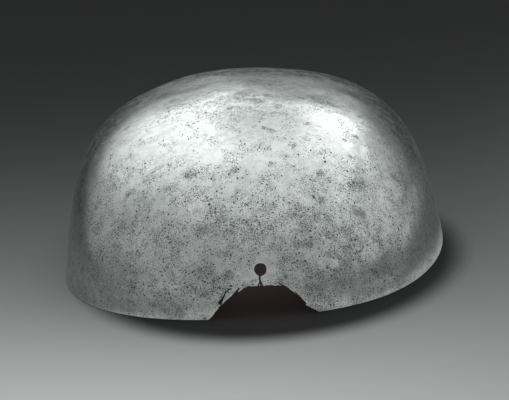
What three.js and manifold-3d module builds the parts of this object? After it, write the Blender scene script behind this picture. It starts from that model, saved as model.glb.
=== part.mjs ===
// Iron skull cap: an oval bowl hammered up from one plate, with a notch in the rim at the front,
// a small round hole above the notch and a crack that runs between the two.
// Lengths are in millimetres, with +Z up and -Y the front of the head.
// The origin is the middle of the rim's rectangle, in the flat plane that the rim rests on.

import * as THREE from 'three';
import { mergeVertices } from 'three/addons/utils/BufferGeometryUtils.js';
import Module from 'manifold-3d';

// Bowl
const WIDTH = 200;          // of the oval, from side to side
const LENGTH = 230;         // of the oval, from front to back
const OVAL_POWER = 2.35;    // 2 gives an ellipse, and more gives squarer corners
const HEIGHT = 95;          // rim to crown, outside
const WALL = 2;

// Notch in the front of the rim
const NOTCH_WIDTH = 55;
const NOTCH_DEPTH = 16.4;
const NOTCH_SHIFT = 7.3;    // from the middle of the oval towards +X

// Hole, crack and saw overcuts
const HOLE_DIAMETER = 6.2;
const HOLE_RISE = 7.9;      // top of the notch to the middle of the hole
const CRACK_WIDTH = 0.8;
const OVERCUT_WIDTH = 0.6;

// Fineness of the facets
const COLUMNS = 84;
const LEVELS = 20;
const HOLE_SIDES = 24;

// How far out the rim runs, as a share of the oval, every 30 degrees from +X towards the back
const RIM_SHARES = [
  { degrees: 0, share: 1.015 },
  { degrees: 30, share: 1.01 },
  { degrees: 60, share: 1.005 },
  { degrees: 90, share: 1.0 },
  { degrees: 120, share: 1.005 },
  { degrees: 150, share: 1.01 },
  { degrees: 180, share: 0.99 },
  { degrees: 210, share: 1.01 },
  { degrees: 240, share: 0.985 },
  { degrees: 270, share: 0.985 },
  { degrees: 300, share: 1.01 },
  { degrees: 330, share: 0.97 },
];

// Sections from the rim up: height as a share of HEIGHT, and reach as shares of the rim's own reach
const SECTIONS = [
  { height: 0.0, right: 1.0, left: 1.0, front: 1.0, back: 1.0 },
  { height: 0.14, right: 0.99, left: 0.985, front: 0.995, back: 0.998 },
  { height: 0.28, right: 0.965, left: 0.96, front: 0.98, back: 0.98 },
  { height: 0.42, right: 0.93, left: 0.93, front: 0.945, back: 0.948 },
  { height: 0.56, right: 0.883, left: 0.89, front: 0.89, back: 0.89 },
  { height: 0.69, right: 0.812, left: 0.825, front: 0.81, back: 0.805 },
  { height: 0.81, right: 0.7, left: 0.715, front: 0.7, back: 0.69 },
  { height: 0.9, right: 0.535, left: 0.547, front: 0.55, back: 0.54 },
  { height: 0.965, right: 0.318, left: 0.323, front: 0.36, back: 0.37 },
];

// Edge of the notch from left to right: shares of half its width and of its depth
const NOTCH_EDGE = [
  { across: -1.0, up: 0.0 },
  { across: -0.76, up: 0.45 },
  { across: -0.49, up: 0.82 },
  { across: -0.42, up: 0.84 },
  { across: -0.31, up: 0.96 },
  { across: -0.22, up: 1.0 },
  { across: 0.16, up: 0.98 },
  { across: 0.34, up: 0.96 },
  { across: 0.43, up: 0.88 },
  { across: 0.58, up: 0.7 },
  { across: 0.73, up: 0.35 },
  { across: 0.86, up: 0.16 },
  { across: 1.0, up: 0.0 },
];

// Saw cuts that ran past the notch's corners, in the same shares as the notch's edge
const OVERCUTS = [
  [{ across: -0.5, up: 0.74 }, { across: -0.41, up: 0.94 }],
  [{ across: 0.44, up: 0.84 }, { across: 0.29, up: 1.06 }],
];

// Course of the crack: across as a share of the hole's diameter, fall as a share of the hole's rise
const CRACK_COURSE = [
  { across: -0.1, fall: 0.0 },
  { across: -0.13, fall: 0.55 },
  { across: -0.08, fall: 0.78 },
  { across: 0.04, fall: 1.15 },
];

const wasm = await Module();
wasm.setup();

// Value at place t of a smooth curve through evenly spaced controls, one of them spare at each end
function smoothValue(controls, t) {
  const first = Math.min(Math.floor(t), controls.length - 4);
  const f = t - first;
  const g = 1 - f;
  const weights = [g ** 3, 3 * f ** 3 - 6 * f ** 2 + 4, 3 * g ** 3 - 6 * g ** 2 + 4, f ** 3];
  return weights.reduce((sum, weight, i) => sum + weight * controls[first + i], 0) / 6;
}

// Controls of one column of the sections, from a spare one below the rim to one past the crown
function reachControls(column) {
  const shares = SECTIONS.map((section) => section[column]);
  return [2 * shares[0] - shares[1], ...shares, 0, -shares.at(-1)];
}

// Controls of the sections' heights, with the crown's set so that the bowl ends at HEIGHT
function heightControls() {
  const heights = SECTIONS.map((section) => section.height);
  const crown = (6 - 2 * heights.at(-1)) / 4;
  return [2 * heights[0] - heights[1], ...heights, crown, heights.at(-1)];
}

const CROWN_LEVEL = SECTIONS.length;
const HEIGHT_CONTROLS = heightControls();
const REACH_CONTROLS = {
  right: reachControls('right'),
  left: reachControls('left'),
  front: reachControls('front'),
  back: reachControls('back'),
};

// Reach of the rim from the middle, in a direction in radians from +X
function rimReach(direction) {
  const side = Math.abs(Math.cos(direction) / (WIDTH / 2)) ** OVAL_POWER;
  const end = Math.abs(Math.sin(direction) / (LENGTH / 2)) ** OVAL_POWER;
  const shares = RIM_SHARES.map((row) => row.share);
  const turn = (direction / (2 * Math.PI)) % 1;
  const t = (turn < 0 ? turn + 1 : turn) * shares.length;
  return smoothValue([shares.at(-1), ...shares, ...shares.slice(0, 2)], t) / (side + end) ** (1 / OVAL_POWER);
}

// Share of the rim's reach at a level, blended smoothly between the four sides
function levelShare(direction, level) {
  const right = smoothValue(REACH_CONTROLS.right, level);
  const left = smoothValue(REACH_CONTROLS.left, level);
  const front = smoothValue(REACH_CONTROLS.front, level);
  const back = smoothValue(REACH_CONTROLS.back, level);
  return (right + left + front + back) / 4
    + ((right + left - front - back) / 4) * Math.cos(2 * direction)
    + ((back - front) / 2) * Math.sin(direction)
    + ((right - left) / 2) * Math.cos(direction);
}

// Point of the outer surface in a direction and at a level, which counts sections from the rim
function outerPoint(direction, level) {
  const reach = levelShare(direction, level) * rimReach(direction);
  const z = smoothValue(HEIGHT_CONTROLS, level) * HEIGHT;
  return new THREE.Vector3(reach * Math.cos(direction), reach * Math.sin(direction), z);
}

// Point of the inner surface: the outer one moved in by the wall, with the rim kept in its plane
function innerPoint(direction, level) {
  const step = 0.001;
  const around = outerPoint(direction + step, level).sub(outerPoint(direction - step, level));
  const up = outerPoint(direction, level + step).sub(outerPoint(direction, Math.max(level - step, 0)));
  const normal = around.cross(up).normalize();
  const point = outerPoint(direction, level).addScaledVector(normal, -WALL);
  if (level === 0) point.z = 0;
  return point;
}

// Closed shell between the two surfaces, from the rim to one point each at the crown
function shellGeometry() {
  const positions = [];
  for (const surfacePoint of [outerPoint, innerPoint]) {
    for (let row = 0; row < LEVELS; row += 1) {
      for (let column = 0; column < COLUMNS; column += 1) {
        const direction = (column / COLUMNS) * 2 * Math.PI;
        positions.push(...surfacePoint(direction, (row / LEVELS) * CROWN_LEVEL).toArray());
      }
    }
  }
  const outerCrown = positions.length / 3;
  positions.push(0, 0, HEIGHT, 0, 0, HEIGHT - WALL);
  const inner = LEVELS * COLUMNS;
  const triangles = [];
  for (let column = 0; column < COLUMNS; column += 1) {
    const next = (column + 1) % COLUMNS;
    triangles.push(inner + column, next, column, inner + column, inner + next, next);
    for (let row = 0; row + 1 < LEVELS; row += 1) {
      const low = row * COLUMNS;
      const high = low + COLUMNS;
      triangles.push(low + column, low + next, high + next);
      triangles.push(low + column, high + next, high + column);
      triangles.push(inner + low + column, inner + high + next, inner + low + next);
      triangles.push(inner + low + column, inner + high + column, inner + high + next);
    }
    const top = (LEVELS - 1) * COLUMNS;
    triangles.push(top + column, top + next, outerCrown);
    triangles.push(inner + top + column, outerCrown + 1, inner + top + next);
  }
  const geometry = new THREE.BufferGeometry();
  geometry.setAttribute('position', new THREE.Float32BufferAttribute(positions, 3));
  geometry.setIndex(triangles);
  return geometry;
}

// Prism that passes through the front wall, from an outline seen from the front
function frontCutter(outline) {
  const geometry = new THREE.ExtrudeGeometry(new THREE.Shape(outline), { depth: LENGTH / 2, bevelEnabled: false });
  return geometry.rotateX(Math.PI / 2).translate(NOTCH_SHIFT, -LENGTH / 4, 0);
}

// Outline of a narrow slit along a course of points
function slitOutline(course, width) {
  const sides = [1, -1].map((side) => course.map((point, i) => {
    const before = course[Math.max(i - 1, 0)];
    const after = course[Math.min(i + 1, course.length - 1)];
    const along = after.clone().sub(before).normalize();
    return new THREE.Vector2(point.x - (along.y * width * side) / 2, point.y + (along.x * width * side) / 2);
  }));
  return [...sides[0], ...sides[1].reverse()];
}

// Place in the notch's own plane, from shares of half its width and of its depth
function notchPlace({ across, up }) {
  return new THREE.Vector2((across * NOTCH_WIDTH) / 2, up * NOTCH_DEPTH);
}

// Notch, open past the rim's plane
function notchCutter() {
  const edge = NOTCH_EDGE.map(notchPlace);
  const left = new THREE.Vector2(edge[0].x, -WALL);
  const right = new THREE.Vector2(edge.at(-1).x, -WALL);
  return frontCutter([left, ...edge, right]);
}

// Round hole above the middle of the notch
function holeCutter() {
  const geometry = new THREE.CylinderGeometry(HOLE_DIAMETER / 2, HOLE_DIAMETER / 2, LENGTH / 2, HOLE_SIDES);
  return geometry.translate(NOTCH_SHIFT, -LENGTH / 2, NOTCH_DEPTH + HOLE_RISE);
}

// Crack from the hole down into the notch
function crackCutter() {
  const course = CRACK_COURSE.map(({ across, fall }) => (
    new THREE.Vector2(across * HOLE_DIAMETER, NOTCH_DEPTH + HOLE_RISE * (1 - fall))));
  return frontCutter(slitOutline(course, CRACK_WIDTH));
}

// Fine saw cuts past the notch's corners
function overcutCutters() {
  return OVERCUTS.map((ends) => frontCutter(slitOutline(ends.map(notchPlace), OVERCUT_WIDTH)));
}

// Solid of a closed geometry, ready to cut
function toSolid(geometry) {
  const bare = geometry.index ? geometry.toNonIndexed() : geometry.clone();
  bare.deleteAttribute('normal');
  bare.deleteAttribute('uv');
  const merged = mergeVertices(bare, 1e-5);
  return new wasm.Manifold(new wasm.Mesh({
    numProp: 3,
    vertProperties: new Float32Array(merged.attributes.position.array),
    triVerts: new Uint32Array(merged.index.array),
  }));
}

// Geometry of a finished solid
function toGeometry(solid) {
  const mesh = solid.getMesh();
  const geometry = new THREE.BufferGeometry();
  geometry.setAttribute('position', new THREE.BufferAttribute(mesh.vertProperties, 3));
  geometry.setIndex(new THREE.BufferAttribute(mesh.triVerts, 1));
  geometry.computeVertexNormals();
  return geometry;
}

// Skull bowl: the shell less the notch, the hole, the crack and the overcuts
function skullBowl() {
  const cutters = [notchCutter(), holeCutter(), crackCutter(), ...overcutCutters()];
  const solid = cutters.reduce((rest, cutter) => rest.subtract(toSolid(cutter)), toSolid(shellGeometry()));
  const iron = new THREE.MeshStandardMaterial({ color: 0x8f9596, roughness: 0.35, metalness: 1 });
  const mesh = new THREE.Mesh(toGeometry(solid), iron);
  mesh.name = 'skull_bowl';
  return mesh;
}

// Whole part, with the middle of the rim's rectangle moved to the origin
function skullCap() {
  const bowl = skullBowl();
  const box = new THREE.Box3().setFromObject(bowl);
  const middle = box.getCenter(new THREE.Vector3());
  bowl.position.set(-middle.x, -middle.y, 0);
  const group = new THREE.Group();
  group.add(bowl);
  return group;
}

export default skullCap();
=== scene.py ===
"""Iron skull cap standing on its rim, on a studio floor with painted light and a painted shadow.

The bowl is one surface of two parameters: a direction round the head, and a level from the rim to the crown.
Lengths are in metres, with +Z up, -Y the front of the head and the rim in the plane z = 0.
"""

import logging
import math
from dataclasses import dataclass, field
from enum import Enum

import bpy
import numpy as np
from mathutils import Euler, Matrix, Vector


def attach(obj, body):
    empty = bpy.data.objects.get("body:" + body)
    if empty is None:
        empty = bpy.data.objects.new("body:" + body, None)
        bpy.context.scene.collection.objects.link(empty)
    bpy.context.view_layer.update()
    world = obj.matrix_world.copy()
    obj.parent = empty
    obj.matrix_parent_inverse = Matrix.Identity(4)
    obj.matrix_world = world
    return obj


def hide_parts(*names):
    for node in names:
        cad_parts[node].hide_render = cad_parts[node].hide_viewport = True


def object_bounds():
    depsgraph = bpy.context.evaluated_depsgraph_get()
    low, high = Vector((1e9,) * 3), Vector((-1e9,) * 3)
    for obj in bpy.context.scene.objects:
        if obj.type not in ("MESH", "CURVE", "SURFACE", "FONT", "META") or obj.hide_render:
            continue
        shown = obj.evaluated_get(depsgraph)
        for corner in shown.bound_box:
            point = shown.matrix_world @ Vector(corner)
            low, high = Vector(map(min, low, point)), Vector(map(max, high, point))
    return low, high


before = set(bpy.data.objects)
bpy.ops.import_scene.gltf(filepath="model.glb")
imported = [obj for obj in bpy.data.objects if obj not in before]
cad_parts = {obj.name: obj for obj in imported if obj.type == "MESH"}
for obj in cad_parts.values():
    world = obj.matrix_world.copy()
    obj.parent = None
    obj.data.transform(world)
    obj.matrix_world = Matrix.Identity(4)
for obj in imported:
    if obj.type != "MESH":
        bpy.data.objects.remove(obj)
CAD_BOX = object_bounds()

LOG = logging.getLogger("skull_cap")
MM = 0.001
NOISE_MIDDLE = 0.5
WAVE_SPREAD = (0.7, 1.4)
FRONT_FADE = 20 * MM
TINY = 1e-12
MARK_NAMES = ("stain", "polish", "edge")

Point = tuple[float, float, float]
Colour = tuple[float, float, float, float]
Stops = tuple[float, float, float, float]


class Side(Enum):
    """Surfaces of the iron plate, with the material slot of each."""

    OUTSIDE = 0
    INSIDE = 1
    CUT = 2


# Shapes


def smooth_value(controls: np.ndarray, place: np.ndarray) -> np.ndarray:
    """Gives the value of a uniform cubic B-spline: the four nearest controls, weighted by the cubic basis.

    Args:
        controls: Evenly spaced controls, with one spare at each end.
        place: Places along the curve, counted in controls.

    Returns:
        One value for each place.
    """
    first = np.clip(np.floor(place).astype(int), 0, len(controls) - 4)
    f = place - first
    g = 1 - f
    weights = (g**3, 3 * f**3 - 6 * f**2 + 4, 3 * g**3 - 6 * g**2 + 4, f**3)
    return sum(weight * controls[first + i] for i, weight in enumerate(weights)) / 6


def smooth_step(low: float, high: float, value: np.ndarray) -> np.ndarray:
    """Rises from 0 at low to 1 at high, as 3t squared less 2t cubed.

    Args:
        low: Value that gives 0.
        high: Value that gives 1.
        value: Values to read.

    Returns:
        One share for each value.
    """
    t = np.clip((value - low) / (high - low), 0, 1)
    return t * t * (3 - 2 * t)


def soft_noise(points: np.ndarray, wavelength: float, seed: int, waves: int = 14) -> np.ndarray:
    """Adds plane sine waves of random direction, phase and nearly equal length, so that it wanders about 0.

    Args:
        points: Points, with the coordinates last.
        wavelength: Middle length of the waves.
        seed: Seed of the random choice.
        waves: Number of waves.

    Returns:
        One value for each point, with a spread of about 1.
    """
    chance = np.random.default_rng(seed)
    ways = chance.normal(size=(waves, 3))
    ways /= np.linalg.norm(ways, axis=1, keepdims=True)
    ways *= 2 * np.pi / wavelength / chance.uniform(*WAVE_SPREAD, size=(waves, 1))
    phases = chance.uniform(0, 2 * np.pi, size=waves)
    return np.sin(points @ ways.T + phases).sum(axis=-1) * math.sqrt(2 / waves)


@dataclass(frozen=True)
class Section:
    """One height of the bowl: shares of its height, and of the rim's reach on four sides."""

    height: float
    right: float
    left: float
    front: float
    back: float


@dataclass(frozen=True)
class BowlForm:
    """Outer form of the bowl, an oval rim that sections carry up to the crown."""

    width: float = 200 * MM
    length: float = 230 * MM
    power: float = 2.35
    height: float = 95 * MM
    small_step: float = 1e-4
    table_steps: int = 4001
    rim_steps: int = 3600
    turning_rounds: int = 25
    rim_shares: tuple[float, ...] = (
        1.015, 1.01, 1.005, 1.0, 1.005, 1.01, 0.99, 1.01, 0.985, 0.985, 1.01, 0.97,
    )
    sections: tuple[Section, ...] = (
        Section(0.0, 1.0, 1.0, 1.0, 1.0),
        Section(0.14, 0.99, 0.985, 0.995, 0.998),
        Section(0.28, 0.965, 0.96, 0.98, 0.98),
        Section(0.42, 0.93, 0.93, 0.945, 0.948),
        Section(0.56, 0.883, 0.89, 0.89, 0.89),
        Section(0.69, 0.812, 0.825, 0.81, 0.805),
        Section(0.81, 0.7, 0.715, 0.7, 0.69),
        Section(0.9, 0.535, 0.547, 0.55, 0.54),
        Section(0.965, 0.318, 0.323, 0.36, 0.37),
    )

    @property
    def crown(self) -> float:
        """Level of the crown."""
        return float(len(self.sections))

    def reach_of_rim(self, direction: np.ndarray) -> np.ndarray:
        """Gives the rim's reach: a superellipse times a periodic spline of the rim's shares.

        Args:
            direction: Directions in radians from +X.

        Returns:
            Distances from the middle.
        """
        side = np.abs(np.cos(direction) / (self.width / 2)) ** self.power
        end = np.abs(np.sin(direction) / (self.length / 2)) ** self.power
        shares = np.array(self.rim_shares)
        controls = np.concatenate([shares[-1:], shares, shares[:2]])
        place = direction % (2 * np.pi) / (2 * np.pi) * len(shares)
        return smooth_value(controls, place) / (side + end) ** (1 / self.power)

    def share_at(self, direction: np.ndarray, level: np.ndarray) -> np.ndarray:
        """Blends the four sides' splines by the direction's mean, double angle, sine and cosine.

        Args:
            direction: Directions in radians from +X.
            level: Levels, counted in sections from the rim.

        Returns:
            Shares of the rim's reach.
        """
        sides = []
        for name in ("right", "left", "front", "back"):
            shares = np.array([getattr(section, name) for section in self.sections])
            ends = ([2 * shares[0] - shares[1]], shares, [0, -shares[-1]])
            sides.append(smooth_value(np.concatenate(ends), level))
        right, left, front, back = sides
        mean = (right + left + front + back) / 4
        double = (right + left - front - back) / 4 * np.cos(2 * direction)
        return mean + double + (back - front) / 2 * np.sin(direction) + (right - left) / 2 * np.cos(direction)

    def height_at(self, level: np.ndarray) -> np.ndarray:
        """Gives the height of levels, by the spline of the sections' heights.

        Args:
            level: Levels, counted in sections from the rim.

        Returns:
            Heights above the rim.
        """
        heights = np.array([section.height for section in self.sections])
        crown = (6 - 2 * heights[-1]) / 4
        ends = ([2 * heights[0] - heights[1]], heights, [crown, heights[-1]])
        return smooth_value(np.concatenate(ends), level) * self.height

    def level_at(self, height: np.ndarray) -> np.ndarray:
        """Gives the levels at heights, read back from a fine table of the heights' spline.

        Args:
            height: Heights above the rim.

        Returns:
            Levels, counted in sections from the rim.
        """
        levels = np.linspace(0, self.crown, self.table_steps)
        return np.interp(height, self.height_at(levels), levels)

    def point(self, direction: np.ndarray, level: np.ndarray) -> np.ndarray:
        """Gives points of the outer surface: the rim's reach times the share, at the level's height.

        Args:
            direction: Directions in radians from +X.
            level: Levels, counted in sections from the rim.

        Returns:
            Points about the oval's own middle.
        """
        reach = self.reach_of_rim(direction) * self.share_at(direction, level)
        height = np.broadcast_to(self.height_at(level), reach.shape)
        return np.stack([reach * np.cos(direction), reach * np.sin(direction), height], axis=-1)

    def frame_at(self, direction: np.ndarray, level: np.ndarray) -> tuple[np.ndarray, np.ndarray]:
        """Gives outward normals and the length of one level, by small steps round and up the surface.

        Args:
            direction: Directions in radians from +X.
            level: Levels, counted in sections from the rim.

        Returns:
            Unit normals, and how far a point moves for one level.
        """
        step = self.small_step
        around = self.point(direction + step, level) - self.point(direction - step, level)
        low = np.maximum(level - step, 0)
        high = np.minimum(level + step, self.crown)
        rise = self.point(direction, high) - self.point(direction, low)
        normal = np.cross(around, rise)
        normal /= np.maximum(np.linalg.norm(normal, axis=-1, keepdims=True), TINY)
        return normal, np.linalg.norm(rise, axis=-1) / (high - low)

    def front_place(self, across: np.ndarray, height: np.ndarray) -> tuple[np.ndarray, np.ndarray]:
        """Finds where a line along Y meets the front, by turning the direction until its x agrees.

        Args:
            across: Places along X about the oval's middle.
            height: Heights above the rim.

        Returns:
            Directions and levels.
        """
        level = self.level_at(height)
        direction = np.full(np.shape(across), 1.5 * np.pi)
        for _ in range(self.turning_rounds):
            reach = self.reach_of_rim(direction) * self.share_at(direction, level)
            direction = 2 * np.pi - np.arccos(np.clip(across / reach, -1, 1))
        return direction, level

    def front_points(self, across: np.ndarray, height: np.ndarray) -> np.ndarray:
        """Gives the points of the front at places along X and heights.

        Args:
            across: Places along X about the oval's middle.
            height: Heights above the rim.

        Returns:
            Points about the oval's own middle.
        """
        return self.point(*self.front_place(across, height))

    def middle_against(self, low: Vector, high: Vector) -> np.ndarray:
        """Gives the move that lays the oval's right and back ends on the frame's box.

        Args:
            low: Lowest corner of the frame's box.
            high: Highest corner of the frame's box.

        Returns:
            The oval's middle, in the frame.
        """
        rim = self.point(np.linspace(0, 2 * np.pi, self.rim_steps), np.zeros(self.rim_steps))
        return np.array([high.x - rim[:, 0].max(), high.y - rim[:, 1].max(), low.z])


@dataclass(frozen=True)
class NotchForm:
    """Notch in the front of the rim, with its hole, crack and tool marks."""

    width: float = 55 * MM
    depth: float = 16.4 * MM
    shift: float = 7.3 * MM
    edge: tuple[tuple[float, float], ...] = (
        (-1.0, 0.0), (-0.76, 0.45), (-0.49, 0.82), (-0.42, 0.84), (-0.31, 0.96), (-0.22, 1.0), (0.16, 0.98),
        (0.34, 0.96), (0.43, 0.88), (0.58, 0.7), (0.73, 0.35), (0.86, 0.16), (1.0, 0.0),
    )
    raggedness: float = 0.2 * MM
    ragged_rise: float = 2 * MM
    wavers: tuple[tuple[float, float], ...] = ((0.47 * MM, 0.0), (0.83 * MM, 1.0), (1.9 * MM, 2.0))
    hole_diameter: float = 6.2 * MM
    hole_rise: float = 7.9 * MM
    hole_bevel: float = 0.35 * MM
    hole_sides: int = 64
    hole_lobes: tuple[tuple[int, float, float], ...] = ((3, 0.018, 0.6), (5, 0.012, 2.0))
    hole_reach: float = 9 * MM

    def place(self, shares: np.ndarray) -> np.ndarray:
        """Turns shares of half the width and of the depth into places along X and heights.

        Args:
            shares: Rows of across and up.

        Returns:
            Rows of x about the oval's middle and z.
        """
        return np.asarray(shares, float) * [self.width / 2, self.depth] + [self.shift, 0]

    def edge_height(self, across: np.ndarray) -> np.ndarray:
        """Reads the edge's height by straight lines between its points, and roughens it with short sines.

        Args:
            across: Places along X about the oval's middle.

        Returns:
            Heights of the cut, and 0 beside the notch.
        """
        points = self.place(self.edge)
        height = np.interp(across, points[:, 0], points[:, 1], left=0, right=0)
        waver = sum(np.sin(across / length + phase) for length, phase in self.wavers)
        return np.maximum(height + waver * self.raggedness / 2 * smooth_step(0, self.ragged_rise, height), 0)

    @property
    def hole_middle(self) -> np.ndarray:
        """Middle of the hole, as x about the oval's middle and z."""
        return np.array([self.shift, self.depth + self.hole_rise])


@dataclass(frozen=True)
class Cut:
    """Narrow cut: its course, in shares of the notch's half width and depth, its width at each point of that,
    and its depth."""

    name: str
    course: tuple[tuple[float, float], ...]
    widths: tuple[float, ...]
    depth: float


CUTS = (
    Cut(
        "crack",
        ((-0.012, 1.42), (-0.02, 1.3), (-0.026, 1.2), (-0.012, 1.1), (0.02, 0.9)),
        (1.2 * MM, 1.0 * MM, 1.0 * MM, 1.1 * MM, 1.6 * MM),
        8 * MM,
    ),
    Cut(
        "crack_branch",
        ((-0.02, 1.135), (-0.05, 1.04), (-0.083, 0.91)),
        (0.5 * MM, 0.8 * MM, 1.15 * MM),
        7 * MM,
    ),
    Cut("left_overcut", ((-0.53, 0.7), (-0.46, 0.85), (-0.4, 0.97)), (1.7 * MM, 1.3 * MM, 0.5 * MM), 8 * MM),
    Cut("right_overcut", ((0.48, 0.8), (0.38, 0.95), (0.285, 1.075)), (1.7 * MM, 1.0 * MM, 0.2 * MM), 8 * MM),
    Cut("right_step", ((0.76, 0.28), (0.67, 0.52), (0.58, 0.75)), (1.9 * MM, 1.2 * MM, 0.2 * MM), 8 * MM),
    Cut(
        "flake_line",
        ((-0.79, 0.5), (-0.735, 0.62), (-0.69, 0.74), (-0.645, 0.86), (-0.585, 0.94), (-0.53, 0.965)),
        (2.0 * MM, 1.4 * MM, 0.7 * MM, 0.6 * MM, 0.45 * MM, 0.2 * MM),
        0.9 * MM,
    ),
)


@dataclass(frozen=True)
class Crease:
    """Shallow hammered line on the front: its ends as seen from there, half width and depth, in
    millimetres."""

    start: tuple[float, float]
    end: tuple[float, float]
    half_width: float
    depth: float

    def depth_at(self, points: np.ndarray) -> np.ndarray:
        """Gives the depth as a bell curve of the distance from the line, on the front alone.

        Args:
            points: Points of the outer surface.

        Returns:
            Depths in metres.
        """
        seen = points[..., [0, 2]] / MM
        along = np.subtract(self.end, self.start)
        share = np.clip((seen - self.start) @ along / (along @ along), 0, 1)
        distance = np.linalg.norm(seen - self.start - share[..., None] * along, axis=-1)
        front = smooth_step(0, FRONT_FADE, -points[..., 1])
        return self.depth * MM * np.exp(-((distance / self.half_width) ** 2)) * front


CREASES = (
    Crease((5.0, 73.8), (30.0, 72.2), 2.2, 0.17),
    Crease((60.6, 68.5), (62.4, 54.0), 2.6, 0.26),
    Crease((62.0, 56.0), (63.0, 28.0), 5.0, 0.16),
    Crease((-20.0, 80.0), (-52.0, 70.0), 7.0, 0.12),
    Crease((-70.0, 40.0), (-64.0, 14.0), 6.0, 0.14),
)


@dataclass(frozen=True)
class Unevenness:
    """Uneven depth of a surface: its scale and base, and the shares, lengths and seeds of two soft noises."""

    scale: float
    base: float
    shares: tuple[float, float]
    lengths: tuple[float, float]
    seeds: tuple[int, int]

    def depth_at(self, points: np.ndarray) -> np.ndarray:
        """Gives the depth: the base and both noises added up, never below 0, times the scale.

        Args:
            points: Points of the outer surface.

        Returns:
            Depths in metres.
        """
        depth = self.base
        for share, length, seed in zip(self.shares, self.lengths, self.seeds):
            depth = depth + share * soft_noise(points, length, seed)
        return self.scale * np.clip(depth, 0, None)


def placed(name: str, data: bpy.types.ID) -> bpy.types.Object:
    """Makes an object of a mesh, light or camera and puts it in the scene.

    Args:
        name: Name of the object.
        data: What it holds.

    Returns:
        The new object.
    """
    made = bpy.data.objects.new(name, data)
    bpy.context.scene.collection.objects.link(made)
    return made


def closed_mesh(name: str, vertices: np.ndarray, faces: list[list[int]]) -> bpy.types.Mesh:
    """Makes a mesh of vertices and faces.

    Args:
        name: Name of the mesh.
        vertices: Vertices, one to a row.
        faces: Corner numbers of each face, anticlockwise from outside.

    Returns:
        The new mesh.
    """
    mesh = bpy.data.meshes.new(name)
    mesh.from_pydata(vertices, [], faces)
    mesh.validate()
    return mesh


def facing_out(vertices: np.ndarray, faces: list[list[int]]) -> list[list[int]]:
    """Turns a closed body's faces outwards, if the volume that they enclose counts as negative.

    Args:
        vertices: Vertices, one to a row.
        faces: Corner numbers of each face.

    Returns:
        Faces with their corners anticlockwise from outside.
    """
    fans = np.array([(face[0], *pair) for face in faces for pair in zip(face[1:], face[2:])])
    first, second, third = (vertices[fans[:, i]] - vertices.mean(axis=0) for i in range(3))
    volume = (first * np.cross(second, third)).sum()
    return faces if volume > 0 else [face[::-1] for face in faces]


def rings_to_faces(rows: int, columns: int) -> list[list[int]]:
    """Joins rings of equal size, one below the other, and closes both ends on a pole.

    Args:
        rows: Number of rings. The first pole comes after them, and then the last.
        columns: Points in a ring, anticlockwise from above.

    Returns:
        Faces of the closed surface.
    """
    column = np.arange(columns)
    following = (column + 1) % columns
    start = (np.arange(rows - 1) * columns)[:, None]
    corners = (start + column, start + columns + column, start + columns + following, start + following)
    quads = np.stack([np.broadcast_to(c, (rows - 1, columns)) for c in corners], axis=-1).reshape(-1, 4)
    first_pole = rows * columns
    last_ring = (rows - 1) * columns
    top = np.stack([np.full(columns, first_pole), column, following], axis=-1)
    end = np.stack([last_ring + column, np.full(columns, first_pole + 1), last_ring + following], axis=-1)
    return quads.tolist() + top.tolist() + end.tolist()


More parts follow.
